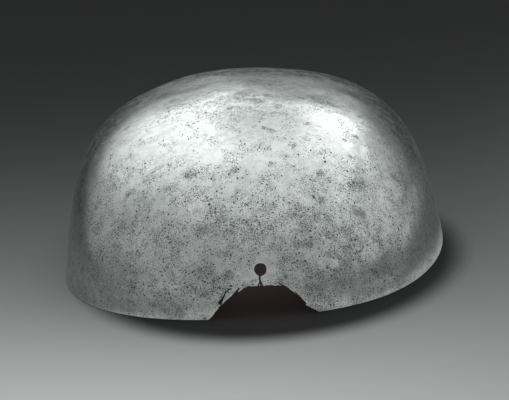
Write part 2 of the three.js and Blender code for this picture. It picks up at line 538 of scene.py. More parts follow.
@dataclass
class SkullBowl:
    """Bowl of one iron plate, with its rounded rim, notch, hole, crack and tool marks."""

    form: BowlForm = field(default_factory=BowlForm)
    notch: NotchForm = field(default_factory=NotchForm)
    wall: float = 2 * MM
    lip_radius: float = 0.7 * MM
    columns: int = 520
    outer_rows: int = 112
    inner_rows: int = 36
    lip_steps: int = 4
    turn_steps: int = 7201
    level_steps: int = 2001
    edge_rounds: int = 30
    notch_way: float = math.radians(273.4)
    notch_spread: float = math.radians(15)
    notch_crowding: float = 3.0
    rim_level: float = 12 * MM
    plain_edge: float = 10 * MM
    cutter_lead: float = 4 * MM
    sharp_angle: float = math.radians(38)
    dents: Unevenness = Unevenness(0.22 * MM, 1.2, (0.8, 0.22), (62 * MM, 21 * MM), (5, 9))
    hammer_marks: Unevenness = Unevenness(0.3 * MM, 0.8, (0.6, 0.42), (13 * MM, 34 * MM), (21, 22))

    def directions(self) -> np.ndarray:
        """Spaces the columns by a density that is four times higher at the notch than at the back.

        Returns:
            Directions in radians from +X.
        """
        turn = np.linspace(0, 2 * np.pi, self.turn_steps)
        density = 1 + self.notch_crowding * np.exp(-(((turn - self.notch_way) / self.notch_spread) ** 2))
        passed = np.concatenate([[0], np.cumsum((density[1:] + density[:-1]) / 2)])
        return np.interp(np.arange(self.columns) / self.columns * passed[-1], passed, turn)

    def even_levels(self, rows: int) -> np.ndarray:
        """Spaces levels so that the rows lie evenly along the bowl's side.

        Args:
            rows: Number of rows from the rim up to the crown.

        Returns:
            Shares of the crown's level, from 0, without the crown.
        """
        level = np.linspace(0, self.form.crown, self.level_steps)
        points = self.form.point(np.full(level.shape, 1.5 * np.pi), level)
        passed = np.concatenate([[0], np.cumsum(np.linalg.norm(np.diff(points, axis=0), axis=1))])
        return np.interp(np.arange(rows) / rows * passed[-1], passed, level) / self.form.crown

    def cut_levels(self, direction: np.ndarray) -> np.ndarray:
        """Finds the level of the cut edge in each direction, by stepping until height and place agree.

        Args:
            direction: Directions in radians from +X.

        Returns:
            Levels of the rim or the notch's edge.
        """
        level = np.zeros(direction.shape)
        front = np.sin(direction) < 0
        for _ in range(self.edge_rounds):
            across = self.form.point(direction, level)[..., 0]
            wanted = self.form.level_at(self.notch.edge_height(across) * front)
            level = (level + wanted) / 2
        return level

    def wall_point(self, direction: np.ndarray, level: np.ndarray, depth: np.ndarray) -> np.ndarray:
        """Moves points of the outer surface inwards, square to it, and level with the floor at the rim.

        Args:
            direction: Directions in radians from +X.
            level: Levels, counted in sections from the rim.
            depth: How far below the outer surface.

        Returns:
            Points about the oval's own middle.
        """
        point = self.form.point(direction, level)
        normal, _ = self.form.frame_at(direction, level)
        tilt = smooth_step(0, self.rim_level, point[..., 2])
        normal = normal * np.stack([np.ones_like(tilt), np.ones_like(tilt), tilt], axis=-1)
        normal /= np.linalg.norm(normal, axis=-1, keepdims=True)
        return point - normal * depth[..., None]

    def outer_depth(self, points: np.ndarray) -> np.ndarray:
        """Gives how far the outside lies below its plain form: the dents and the creases added up."""
        return self.dents.depth_at(points) + sum(crease.depth_at(points) for crease in CREASES)

    def shell(self) -> tuple[np.ndarray, list[list[int]], int]:
        """Works out the shell as rings: down the outside, round the lip and up the inside.

        Returns:
            Vertices, faces, and the number of rings outside and on the lip.
        """
        direction = self.directions()
        bottom = self.cut_levels(direction)
        _, stretch = self.form.frame_at(direction, bottom)
        set_back = self.lip_radius / stretch
        crown = self.form.crown
        base = bottom + set_back
        rings = []
        for share in self.even_levels(self.outer_rows)[::-1]:
            level = base + (crown - base) * share
            point = self.form.point(direction, level)
            near_edge = smooth_step(0, self.plain_edge, (level - base) * stretch)
            rings.append(self.wall_point(direction, level, self.outer_depth(point) * near_edge))
        angle = np.linspace(0, np.pi / 2, self.lip_steps + 1)[1:]
        rounds = [(1 - math.sin(a), 1 - math.cos(a)) for a in angle]
        for back, down in rounds:
            depth = np.full(direction.shape, self.lip_radius * down)
            rings.append(self.wall_point(direction, bottom + set_back * back, depth))
        for back, down in rounds[::-1]:
            depth = np.full(direction.shape, self.wall - self.lip_radius * down)
            rings.append(self.wall_point(direction, bottom + set_back * back, depth))
        outside = len(rings)
        for share in self.even_levels(self.inner_rows):
            level = base + (crown - base) * share
            point = self.form.point(direction, level)
            near_edge = smooth_step(0, self.plain_edge, (level - base) * stretch)
            depth = self.wall + self.hammer_marks.depth_at(point) * near_edge
            rings.append(self.wall_point(direction, level, depth))
        top = np.array([[0, 0, self.form.height]])
        poles = np.concatenate([top - [[0, 0, self.outer_depth(top)[0]]], top - [[0, 0, self.wall]]])
        poles[1, 2] -= self.hammer_marks.depth_at(top)[0]
        vertices = np.concatenate([*rings, poles])
        return vertices, rings_to_faces(len(rings), self.columns), outside

    def hole_cutter(self) -> tuple[np.ndarray, list[list[int]]]:
        """Works out a round bar along Y whose rings widen to a bevel where they meet the outer surface.

        Returns:
            Vertices and faces.
        """
        radius = self.notch.hole_diameter / 2
        bevel = self.notch.hole_bevel
        wide = radius + bevel
        rings = ((wide, -self.cutter_lead), (wide, 0.0), (radius, bevel), (radius, self.notch.hole_reach))
        turn = np.linspace(0, 2 * np.pi, self.notch.hole_sides, endpoint=False)
        uneven = 1 + sum(size * np.sin(count * turn + phase) for count, size, phase in self.notch.hole_lobes)
        points = []
        for reach, inwards in rings:
            across = self.notch.hole_middle[0] - reach * uneven * np.cos(turn)
            height = self.notch.hole_middle[1] + reach * uneven * np.sin(turn)
            points.append(self.form.front_points(across, height) + [0, inwards, 0])
        ends = [points[0].mean(axis=0, keepdims=True), points[-1].mean(axis=0, keepdims=True)]
        return np.concatenate([*points, *ends]), rings_to_faces(len(rings), len(turn))

    def slit_cutter(self, cut: Cut) -> tuple[np.ndarray, list[list[int]]]:
        """Works out a ribbon along a cut's course, from in front of the surface to its depth below it.

        Args:
            cut: Course, widths and depth of the cut.

        Returns:
            Vertices and faces.
        """
        course = self.notch.place(cut.course)
        along = np.gradient(course, axis=0)
        along /= np.linalg.norm(along, axis=1, keepdims=True)
        aside = np.stack([-along[:, 1], along[:, 0]], axis=1) * np.array(cut.widths)[:, None] / 2
        left, right = course + aside, course - aside
        layers = []
        for inwards in (-self.cutter_lead, cut.depth):
            for side in (left, right):
                layers.append(self.form.front_points(side[:, 0], side[:, 1]) + [0, inwards, 0])
        count = len(course)
        near_left, near_right, far_left, far_right = (np.arange(count) + count * i for i in range(4))
        loop = (near_left, near_right, far_right, far_left, near_left)
        faces = [np.stack([a[:-1], b[:-1], b[1:], a[1:]], axis=1) for a, b in zip(loop, loop[1:])]
        ends = [
            [near_left[0], far_left[0], far_right[0], near_right[0]],
            [near_left[-1], near_right[-1], far_right[-1], far_left[-1]],
        ]
        return np.concatenate(layers), np.concatenate([*faces, np.array(ends)]).tolist()

    def cutters(self, middle: np.ndarray) -> list[bpy.types.Object]:
        """Makes the cutting bodies as objects, with their faces outwards.

        Args:
            middle: The oval's middle, in the frame.

        Returns:
            The cutters, which are removed after use.
        """
        shapes = [("hole", *self.hole_cutter())] + [(cut.name, *self.slit_cutter(cut)) for cut in CUTS]
        made = []
        for name, vertices, faces in shapes:
            mesh = closed_mesh(name, vertices + middle, facing_out(vertices, faces))
            made.append(placed(name, mesh))
        return made

    def build(self, materials: dict[Side, bpy.types.Material]) -> bpy.types.Object:
        """Builds the bowl, cuts it, and gives it its materials and surface marks.

        Args:
            materials: Material of each side of the plate.

        Returns:
            The finished bowl, which stands for the frame's node.
        """
        middle = self.form.middle_against(*CAD_BOX)
        vertices, faces, outside = self.shell()
        mesh = closed_mesh("iron_bowl", vertices + middle, faces)
        for side in Side:
            mesh.materials.append(materials[side])
        ring = np.minimum([face[0] for face in faces], len(vertices) - 3) // self.columns
        inner = (ring >= outside - self.lip_steps // 2).astype(np.int32)
        inner[-2 * self.columns:-self.columns] = Side.OUTSIDE.value
        mesh.polygons.foreach_set("material_index", inner)
        bowl = placed("iron_bowl", mesh)
        cutters = self.cutters(middle)
        for cutter in cutters:
            cutter.data.materials.append(materials[Side.CUT])
            cut = bowl.modifiers.new(cutter.name, "BOOLEAN")
            cut.operation = "DIFFERENCE"
            cut.solver = "MANIFOLD"
            cut.material_mode = "TRANSFER"
            cut.object = cutter
        depsgraph = bpy.context.evaluated_depsgraph_get()
        finished = bpy.data.meshes.new_from_object(bowl.evaluated_get(depsgraph))
        bowl.modifiers.clear()
        bowl.data = finished
        for cutter in cutters:
            bpy.data.objects.remove(cutter)
        finished.shade_smooth()
        finished.set_sharp_from_angle(angle=self.sharp_angle)
        SurfaceMarks(self.form, self.notch, middle).write(finished)
        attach(bowl, "root")
        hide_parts("skull_bowl")
        return bowl


@dataclass(frozen=True)
class Blotch:
    """Patch of dark stain on the front, placed as it is seen from there, in millimetres."""

    across: float
    height: float
    radius: float
    strength: float


@dataclass(frozen=True)
class SurfaceMarks:
    """Stains, worn places and edges, written to the mesh as values for the materials to read; the edges carry
    wear and a painted highlight.
    """

    form: BowlForm
    notch: NotchForm
    middle: np.ndarray
    stain_warp: float = 0.35
    warp_length: float = 9 * MM
    warp_seed: int = 31
    polish_shift: tuple[float, float] = (1.2 * MM, 3.5 * MM)
    polish_reach: Point = (7.5 * MM, 9.0 * MM, 8.5 * MM)
    edge_reach: float = 0.9 * MM
    blotches: tuple[Blotch, ...] = (
        Blotch(-18.5, 26.4, 3.0, 0.9), Blotch(-17.1, 19.5, 4.6, 1.0), Blotch(-40.9, 9.2, 4.0, 0.6),
        Blotch(-38.0, 3.0, 4.0, 0.55), Blotch(-59.1, 14.0, 3.0, 0.6), Blotch(-78.0, 22.0, 7.0, 0.3),
        Blotch(35.2, 1.6, 4.5, 0.9), Blotch(31.6, 14.3, 6.0, 0.6), Blotch(37.0, 13.0, 4.5, 0.5),
        Blotch(47.0, 15.2, 6.0, 0.4), Blotch(53.0, 28.0, 7.0, 0.45), Blotch(36.0, 47.0, 6.0, 0.4),
        Blotch(31.5, 41.2, 5.5, 0.5), Blotch(-12.0, 50.0, 8.0, 0.35), Blotch(12.0, 37.0, 9.0, 0.3),
        Blotch(70.2, 14.5, 6.0, 0.4), Blotch(59.1, 56.9, 4.5, 0.5), Blotch(54.5, 56.9, 4.0, 0.4),
        Blotch(69.8, 74.0, 6.5, 0.85), Blotch(33.1, 79.6, 3.0, 0.35), Blotch(20.3, 93.2, 7.0, 0.65),
        Blotch(-66.5, 62.1, 5.0, 0.45), Blotch(-45.6, 66.2, 4.0, 0.35), Blotch(-18.4, 69.6, 3.5, 0.3),
        Blotch(66.0, 6.0, 3.0, 0.6), Blotch(76.0, 4.0, 3.0, 0.6), Blotch(57.0, 4.0, 3.0, 0.5),
        Blotch(-19.2, 46.1, 2.2, 0.5), Blotch(14.6, 77.0, 1.6, 0.5), Blotch(26.7, 77.1, 1.6, 0.5),
        Blotch(29.3, 44.7, 2.6, 0.4), Blotch(0.9, 92.6, 4.0, 0.5), Blotch(37.7, 88.7, 4.0, 0.6),
        Blotch(43.8, 87.1, 4.5, 0.6), Blotch(-59.0, 3.0, 3.0, 0.4), Blotch(2.7, 18.0, 2.2, 0.9),
        Blotch(-0.5, 17.3, 2.0, 0.6), Blotch(12.0, 17.0, 1.6, 0.5),
    )

    def stain(self, points: np.ndarray) -> np.ndarray:
        """Adds a bell curve of the distance for each blotch, broken up by soft noise.

        Args:
            points: Points about the oval's own middle.

        Returns:
            Strengths from 0 to 1.
        """
        total = np.zeros(len(points))
        warp = 1 + self.stain_warp * soft_noise(points, self.warp_length, self.warp_seed)
        for blotch in self.blotches:
            centre = self.form.front_points(np.array(blotch.across * MM), np.array(blotch.height * MM))
            distance = np.linalg.norm(points - centre, axis=1) * warp
            total += blotch.strength * np.exp(-((distance / (blotch.radius * MM)) ** 2))
        return np.clip(total, 0, 1)

    def polish(self, points: np.ndarray) -> np.ndarray:
        """Gives the clean patch round the hole and above it, as a bell curve of the distance.

        Args:
            points: Points about the oval's own middle.

        Returns:
            Strengths from 0 to 1.
        """
        centre = self.form.front_points(*(self.notch.hole_middle + self.polish_shift))
        offset = (points - centre) / self.polish_reach
        return np.exp(-(offset**2).sum(axis=1))

    def edge(self, points: np.ndarray) -> np.ndarray:
        """Gives how near a point is to the rim, the notch or the hole, falling off over about a millimetre.

        Args:
            points: Points about the oval's own middle.

        Returns:
            Strengths from 0 to 1.
        """
        front = points[:, 1] < 0
        above = points[:, 2] - self.notch.edge_height(points[:, 0]) * front
        from_hole = np.hypot(*(points[:, [0, 2]] - self.notch.hole_middle).T) - self.notch.hole_diameter / 2
        near_hole = np.where(front, np.abs(from_hole), 1.0)
        return np.exp(-np.minimum(np.abs(above), near_hole) / self.edge_reach)

    def write(self, mesh: bpy.types.Mesh) -> None:
        """Writes the marks to the mesh, one value to a vertex.

        Args:
            mesh: The finished bowl's mesh.
        """
        flat = np.empty(len(mesh.vertices) * 3)
        mesh.vertices.foreach_get("co", flat)
        points = flat.reshape(-1, 3) - self.middle
        for name, values in zip(MARK_NAMES, (self.stain(points), self.polish(points), self.edge(points))):
            attribute = mesh.attributes.new(name, "FLOAT", "POINT")
            attribute.data.foreach_set("value", values.astype(np.float32))


# Materials


@dataclass(frozen=True)
class Ramp:
    """Smooth change of a value, from one result at its low end to another at its high end."""

    low: float
    high: float
    to_low: object = 0.0
    to_high: object = 1.0


@dataclass(frozen=True)
class Noise:
    """Noise pattern: its features in a metre, its octaves, and the share that each octave keeps."""

    scale: float
    detail: float
    roughness: float


@dataclass
class Graph:
    """Node tree that is built by adding nodes and joining their sockets."""

    tree: bpy.types.NodeTree

    def add(self, kind: str, inputs: dict[str | int, object] | None = None,
            **settings: object) -> bpy.types.Node:
        """Adds a node.

        Args:
            kind: Blender's name of the node's type.
            inputs: Value or source socket of each named or numbered input.
            settings: Settings of the node itself.

        Returns:
            The new node.
        """
        node = self.tree.nodes.new(kind)
        for name, value in settings.items():
            setattr(node, name, value)
        for name, value in (inputs or {}).items():
            if isinstance(value, bpy.types.NodeSocket):
                self.join(value, node.inputs[name])
            else:
                node.inputs[name].default_value = value
        return node

    def join(self, source: bpy.types.NodeSocket, target: bpy.types.NodeSocket) -> None:
        """Joins an output to an input."""
        self.tree.links.new(source, target)

    def math(self, operation: str, a: object, b: object = 0.0, clamp: bool = False) -> bpy.types.NodeSocket:
        """Adds a Math node of two inputs and gives its result.

        Args:
            operation: Name of the operation.
            a: First value or socket.
            b: Second value or socket.
            clamp: Whether the result stays between 0 and 1.

        Returns:
            The result's socket.
        """
        return self.add("ShaderNodeMath", {0: a, 1: b}, operation=operation, use_clamp=clamp).outputs[0]

    def plus(self, a: object, b: object, clamp: bool = False) -> bpy.types.NodeSocket:
        """Gives the sum of two values or sockets."""
        return self.math("ADD", a, b, clamp)

    def less(self, a: object, b: object, clamp: bool = False) -> bpy.types.NodeSocket:
        """Gives the first value or socket less the second."""
        return self.math("SUBTRACT", a, b, clamp)

    def times(self, a: object, b: object, clamp: bool = False) -> bpy.types.NodeSocket:
        """Gives the product of two values or sockets."""
        return self.math("MULTIPLY", a, b, clamp)

    def vector(self, operation: str, a: object, b: object, output: str | int = 0) -> bpy.types.NodeSocket:
        """Adds a Vector Math node and gives its result.

        Args:
            operation: Name of the operation.
            a: First vector or socket.
            b: Second vector, number or socket.
            output: Name or number of the result.

        Returns:
            The result's socket.
        """
        second = "Scale" if operation == "SCALE" else 1
        return self.add("ShaderNodeVectorMath", {0: a, second: b}, operation=operation).outputs[output]

    def ramp(self, value: object, ramp: Ramp) -> bpy.types.NodeSocket:
        """Adds a smooth Map Range node and gives its result.

        Args:
            value: Value or socket to read.
            ramp: Its two ends and their results.

        Returns:
            The result's socket.
        """
        inputs = {"Value": value, "From Min": ramp.low, "From Max": ramp.high,
                  "To Min": ramp.to_low, "To Max": ramp.to_high}
        return self.add("ShaderNodeMapRange", inputs, interpolation_type="SMOOTHSTEP").outputs["Result"]

    def noise(self, vector: object, noise: Noise, output: str = "Fac") -> bpy.types.NodeSocket:
        """Adds a Noise Texture and gives its value or colour.

        Args:
            vector: Socket of the coordinates.
            noise: The pattern.
            output: Name of the result.

        Returns:
            The result's socket.
        """
        inputs = {"Vector": vector, "Scale": noise.scale,
                  "Detail": noise.detail, "Roughness": noise.roughness}
        return self.add("ShaderNodeTexNoise", inputs).outputs[output]

    def blend(self, share: object, a: object, b: object) -> bpy.types.NodeSocket:
        """Adds a colour Mix node and gives its result.

        Args:
            share: Share of the second colour.
            a: First colour or socket.
            b: Second colour or socket.

        Returns:
            The result's socket.
        """
        return self.add("ShaderNodeMix", {0: share, 6: a, 7: b}, data_type="RGBA").outputs[2]

    def group(self, tree: bpy.types.NodeTree, inputs: dict[str, object]) -> bpy.types.Node:
        """Adds a node group with its own values."""
        return self.add("ShaderNodeGroup", inputs, node_tree=tree)

    def bump(self, height: bpy.types.NodeSocket, distance: float, strength: float,
             shader: bpy.types.Node) -> None:
        """Adds a Bump node that feeds a shader's normal.

        Args:
            height: Socket of the relief.
            distance: How deep a relief of 1 is.
            strength: Share of the relief that shows.
            shader: The material's shader.
        """
        bump = self.add("ShaderNodeBump", {"Height": height, "Distance": distance, "Strength": strength})
        self.join(bump.outputs["Normal"], shader.inputs["Normal"])


def new_group(name: str, inputs: dict[str, tuple[str, float]], outputs: tuple[str, ...]) -> tuple:
    """Makes an empty shader node group with named sockets.

    Args:
        name: Name of the group.
        inputs: Kind of socket and first value of each input.
        outputs: Names of the outputs, each a number.

    Returns:
        The group's tree, its Graph, and the nodes that hold its inputs and outputs.
    """
    tree = bpy.data.node_groups.new(name, "ShaderNodeTree")
    for title, (kind, value) in inputs.items():
        socket = tree.interface.new_socket(title, in_out="INPUT", socket_type=kind)
        if kind == "NodeSocketFloat":
            socket.default_value = value
    for title in outputs:
        tree.interface.new_socket(title, in_out="OUTPUT", socket_type="NodeSocketFloat")
    graph = Graph(tree)
    return tree, graph, graph.add("NodeGroupInput"), graph.add("NodeGroupOutput")


def new_material(name: str) -> tuple[bpy.types.Material, Graph, bpy.types.Node, bpy.types.NodeSocket]:
    """Makes a material with a Principled shader.

    Args:
        name: Name of the material.

    Returns:
        The material, its Graph, its shader, and the socket of the object's coordinates.
    """
    material = bpy.data.materials.new(name)
    material.use_nodes = True
    graph = Graph(material.node_tree)
    shader = material.node_tree.nodes["Principled BSDF"]
    return material, graph, shader, graph.add("ShaderNodeTexCoord").outputs["Object"]


@dataclass(frozen=True)
class PitSize:
    """One size of rust pit: cells in a metre, reach and share of the cells that hold one, and darkness."""

    cells: float
    reach: float
    share: float
    darkness: float


@dataclass(frozen=True)
class RustPits:
    """Rust pits of several sizes in clusters, with short curved marks among them."""

    sizes: tuple[PitSize, ...] = (
        PitSize(2400, 0.56, 0.9, 0.8),
        PitSize(1400, 0.50, 0.32, 1.0),
        PitSize(800, 0.45, 0.11, 1.0),
        PitSize(480, 0.36, 0.035, 1.0),
    )
    growth: float = 5.0
    rounding: Ramp = Ramp(0.0, 0.12)
    full_depth_cells: float = 500.0
    cluster: Noise = Noise(110.0, 5.0, 0.7)
    clustering: float = 2.8
    ragged: Noise = Noise(2600.0, 2.0, 0.5)
    ragged_shift: float = 0.42 * MM
    ridge: Noise = Noise(850.0, 3.0, 0.6)
    ridge_share: Ramp = Ramp(0.02, 0.06, 0.75, 0.0)
    piece: Noise = Noise(1300.0, 3.0, 0.6)
    piece_share: Ramp = Ramp(0.55, 0.60)
    mark_share: Ramp = Ramp(0.2, 0.9)
    mark_depth: float = 0.5

    def group(self) -> bpy.types.NodeTree:
        """Makes the node group: spots in the cells of a Voronoi pattern, ragged by noise, and marks where one
        noise is near its middle and a second one is high.

        Returns:
            The group, with an Amount from 0 to 1 in, and a Mask and a Depth out.
        """
        inputs = {"Vector": ("NodeSocketVector", 0.0), "Amount": ("NodeSocketFloat", 0.5)}
        tree, graph, given, result = new_group("rust_pits", inputs, ("Mask", "Depth"))
        vector, amount = given.outputs["Vector"], given.outputs["Amount"]
        uneven = graph.less(graph.noise(vector, self.cluster), NOISE_MIDDLE)
        crowd = graph.plus(amount, graph.times(uneven, self.clustering), clamp=True)
        shift = graph.vector("SUBTRACT", graph.noise(vector, self.ragged, "Color"), (NOISE_MIDDLE,) * 3)
        place = graph.vector("ADD", vector, graph.vector("SCALE", shift, self.ragged_shift))
        ridge = graph.math("ABSOLUTE", graph.less(graph.noise(vector, self.ridge), NOISE_MIDDLE))
        pieces = graph.ramp(graph.noise(vector, self.piece), self.piece_share)
        marks = graph.times(graph.ramp(ridge, self.ridge_share), pieces)
        mask = graph.times(marks, graph.ramp(crowd, self.mark_share))
        depth = graph.times(mask, self.mark_depth)
        for size in self.sizes:
            cell = graph.add("ShaderNodeTexVoronoi", {"Vector": place, "Scale": size.cells})
            chance = graph.add("ShaderNodeSeparateColor", {0: cell.outputs["Color"]}).outputs["Red"]
            room = graph.less(graph.times(crowd, size.share), chance)
            radius = graph.times(graph.times(room, self.growth / size.share, clamp=True), size.reach)
            inside = graph.ramp(graph.less(radius, cell.outputs["Distance"]), self.rounding)
            pit = graph.times(inside, size.darkness)
            mask = graph.math("MAXIMUM", mask, pit)
            depth = graph.plus(depth, graph.times(pit, self.full_depth_cells / size.cells))
        graph.join(mask, result.inputs["Mask"])
        graph.join(depth, result.inputs["Depth"])
        return tree


@dataclass(frozen=True)
class UnevenTone:
    """Uneven tone: broad clouds, small mottle, and wiping marks of noise stretched sideways."""

    clouds: Noise = Noise(38.0, 4.0, 0.62)
    mottle: Noise = Noise(240.0, 4.0, 0.7)
    marks: Noise = Noise(1.0, 3.0, 0.6)
    mark_scale: tuple[float, float, float] = (60.0, 60.0, 620.0)

    def group(self) -> bpy.types.NodeTree:
        """Makes the node group.

        Returns:
            The group, with a Size in, and Clouds, Mottle and Marks out, each about 0.5.
        """
        inputs = {"Vector": ("NodeSocketVector", 0.0), "Size": ("NodeSocketFloat", 1.0)}
        tree, graph, given, result = new_group("uneven_tone", inputs, ("Clouds", "Mottle", "Marks"))
        sized = graph.vector("SCALE", given.outputs["Vector"], given.outputs["Size"])
        stretched = graph.add("ShaderNodeMapping", {"Vector": sized, "Scale": self.mark_scale}).outputs[0]
        graph.join(graph.noise(sized, self.clouds), result.inputs["Clouds"])
        graph.join(graph.noise(sized, self.mottle), result.inputs["Mottle"])
        graph.join(graph.noise(stretched, self.marks), result.inputs["Marks"])
        return tree


@dataclass(frozen=True)
class IronGroups:
    """Node groups that the iron's finishes use."""

    pitting: bpy.types.NodeTree
    tone: bpy.types.NodeTree


@dataclass(frozen=True)
class PolishedIron:
    """Outside finish: worn polished iron, pitted and stained more towards the rim, with edges lighter from
    wear and a painted highlight.
    """

    bright: Colour = (0.66, 0.675, 0.67, 1.0)
    dull: Colour = (0.43, 0.455, 0.435, 1.0)
    dark: Colour = (0.20, 0.215, 0.205, 1.0)
    pit: Colour = (0.028, 0.028, 0.025, 1.0)
    side_pits: Ramp = Ramp(0.045, 0.08, 0.58, 0.22)
    crown_pits: Ramp = Ramp(0.082, 0.091, 0.0, 0.3)
    stain_pits: float = 1.3
    polish_pits: float = 0.45
    edge_pits: float = 0.5
    cloud_dirt: Ramp = Ramp(0.3, 0.75)
    side_dirt: Ramp = Ramp(0.01, 0.085, 0.75, 0.25)
    lighter_near_rim: Ramp = Ramp(0.0, 0.035, 0.4, 1.0)
    stain_dirt: float = 0.4
    polish_dirt: float = 0.7
    broken_stain: Ramp = Ramp(0.36, 0.6, 1.25, 0.35)
    stain_dark: float = 0.32
    mottle_dark: Ramp = Ramp(0.36, 0.62, 0.28, 0.0)
    # lighter edges: partly rubbed bare iron, partly a painted highlight
    edge_wear_and_highlight: float = 0.6
    pit_dark: float = 0.96
    edge_worn: float = 0.4
    pit_rust: float = 0.75
    roughness: float = 0.2
    dirt_roughness: float = 0.10
    pit_roughness: float = 0.30
    wiping: Ramp = Ramp(0.3, 0.7, -0.02, 0.02)
    wiping_relief: float = 0.008
    pit_depth: float = 0.12 * MM
    relief_strength: float = 0.4

    def make(self, groups: IronGroups) -> bpy.types.Material:
        """Makes the material.

        Args:
            groups: Node groups of the iron's effects.

        Returns:
            The material.
        """
        material, graph, shader, place = new_material("polished_iron")
        stain, polish, edge = (
            graph.add("ShaderNodeAttribute", attribute_name=name).outputs["Fac"] for name in MARK_NAMES
        )
        height = graph.add("ShaderNodeSeparateXYZ", {0: place}).outputs["Z"]
        tone = graph.group(groups.tone, {"Vector": place, "Size": 1.0})
        clouds, mottle, marks = (tone.outputs[name] for name in ("Clouds", "Mottle", "Marks"))
        amount = graph.plus(graph.ramp(height, self.side_pits), graph.ramp(height, self.crown_pits))
        amount = graph.plus(amount, graph.times(stain, self.stain_pits))
        amount = graph.less(amount, graph.times(polish, self.polish_pits))
        amount = graph.less(amount, graph.times(edge, self.edge_pits), clamp=True)
        pits = graph.group(groups.pitting, {"Vector": place, "Amount": amount})
        dirty = graph.times(graph.ramp(clouds, self.cloud_dirt), graph.ramp(height, self.side_dirt))
        # The colour is less dull, so lighter, within 35 mm of the rim.
        dirty = graph.times(dirty, graph.ramp(height, self.lighter_near_rim))
        stain = graph.times(stain, graph.ramp(mottle, self.broken_stain))
        dirty = graph.plus(dirty, graph.times(stain, self.stain_dirt), clamp=True)
        dirty = graph.less(dirty, graph.times(polish, self.polish_dirt), clamp=True)
        metal = graph.blend(dirty, self.bright, self.dull)
        metal = graph.blend(graph.times(stain, self.stain_dark), metal, self.dark)
        metal = graph.blend(graph.ramp(mottle, self.mottle_dark), metal, self.dark)
        # Lighter along the rim, the notch and the hole: partly rubbed bare iron, partly a painted highlight.
        metal = graph.blend(graph.times(edge, self.edge_wear_and_highlight), metal, self.bright)
        pit_share = graph.less(self.pit_dark, graph.times(edge, self.edge_worn))
        mask = graph.times(pits.outputs["Mask"], pit_share)
        graph.join(graph.blend(mask, metal, self.pit), shader.inputs["Base Color"])
        graph.join(graph.less(1.0, graph.times(mask, self.pit_rust)), shader.inputs["Metallic"])
        rough = graph.plus(self.roughness, graph.times(dirty, self.dirt_roughness))
        rough = graph.plus(rough, graph.times(mask, self.pit_roughness))
        rough = graph.plus(rough, graph.ramp(marks, self.wiping), clamp=True)
        graph.join(rough, shader.inputs["Roughness"])
        relief = graph.less(graph.times(marks, self.wiping_relief), pits.outputs["Depth"])
        graph.bump(relief, self.pit_depth, self.relief_strength, shader)
        return material


@dataclass(frozen=True)
class RawIron:
    """Inside finish: iron left black from the fire, with a skin of brown rust."""

    black: Colour = (0.09, 0.075, 0.07, 1.0)
    brown: Colour = (0.24, 0.125, 0.098, 1.0)
    orange: Colour = (0.32, 0.16, 0.10, 1.0)
    pattern_size: float = 1.6
    rust: Ramp = Ramp(0.36, 0.62)
    rust_pits: float = 0.6
    pit_dark: float = 0.6
    spots: Noise = Noise(160.0, 3.0, 0.7)
    spot_share: Ramp = Ramp(0.58, 0.7, 0.0, 0.55)
    metallic: Ramp = Ramp(0.0, 1.0, 0.55, 0.1)
    roughness: Ramp = Ramp(0.0, 1.0, 0.48, 0.8)
    cloud_relief: float = 0.8
    pit_relief: float = -0.5
    relief_depth: float = 0.3 * MM
    relief_strength: float = 0.7

    def make(self, groups: IronGroups) -> bpy.types.Material:
        """Makes the material.

        Args:
            groups: Node groups of the iron's effects.

        Returns:
            The material.
        """
        material, graph, shader, place = new_material("raw_iron")
        clouds = graph.group(groups.tone, {"Vector": place, "Size": self.pattern_size}).outputs["Clouds"]
        rusty = graph.ramp(clouds, self.rust)
        amount = graph.times(rusty, self.rust_pits)
        pits = graph.group(groups.pitting, {"Vector": place, "Amount": amount})
        colour = graph.blend(rusty, self.black, self.brown)
        spots = graph.ramp(graph.noise(place, self.spots), self.spot_share)
        colour = graph.blend(spots, colour, self.orange)
        colour = graph.blend(graph.times(pits.outputs["Mask"], self.pit_dark), colour, self.black)
        graph.join(colour, shader.inputs["Base Color"])
        graph.join(graph.ramp(rusty, self.metallic), shader.inputs["Metallic"])
        graph.join(graph.ramp(rusty, self.roughness), shader.inputs["Roughness"])
        pit_relief = graph.times(pits.outputs["Depth"], self.pit_relief)
        relief = graph.plus(graph.times(clouds, self.cloud_relief), pit_relief)
        graph.bump(relief, self.relief_depth, self.relief_strength, shader)
        return material


@dataclass(frozen=True)
class CutIron:
    """Finish of the hole, the crack and the tool marks: nearly black scale, worn a little."""

    scale: Colour = (0.022, 0.020, 0.019, 1.0)
    worn: Colour = (0.10, 0.10, 0.095, 1.0)
    worn_share: Ramp = Ramp(0.5, 0.7)
    metallic: float = 0.5
    roughness: float = 0.6

    def make(self, groups: IronGroups) -> bpy.types.Material:
        """Makes the material.

        Args:
            groups: Node groups of the iron's effects.

        Returns:
            The material.
        """
        material, graph, shader, place = new_material("cut_iron")
        mottle = graph.group(groups.tone, {"Vector": place, "Size": 1.0}).outputs["Mottle"]
        colour = graph.blend(graph.ramp(mottle, self.worn_share), self.scale, self.worn)
        graph.join(colour, shader.inputs["Base Color"])
        shader.inputs["Metallic"].default_value = self.metallic
        shader.inputs["Roughness"].default_value = self.roughness
        return material


# Studio


@dataclass(frozen=True)
class PaintedLightPool:
    """Patch of light painted on the floor: its middle and reach, how steeply it shades off, and its share of
    pale.
    """

    middle: Point
    reach: float
    steepness: float
    level: float


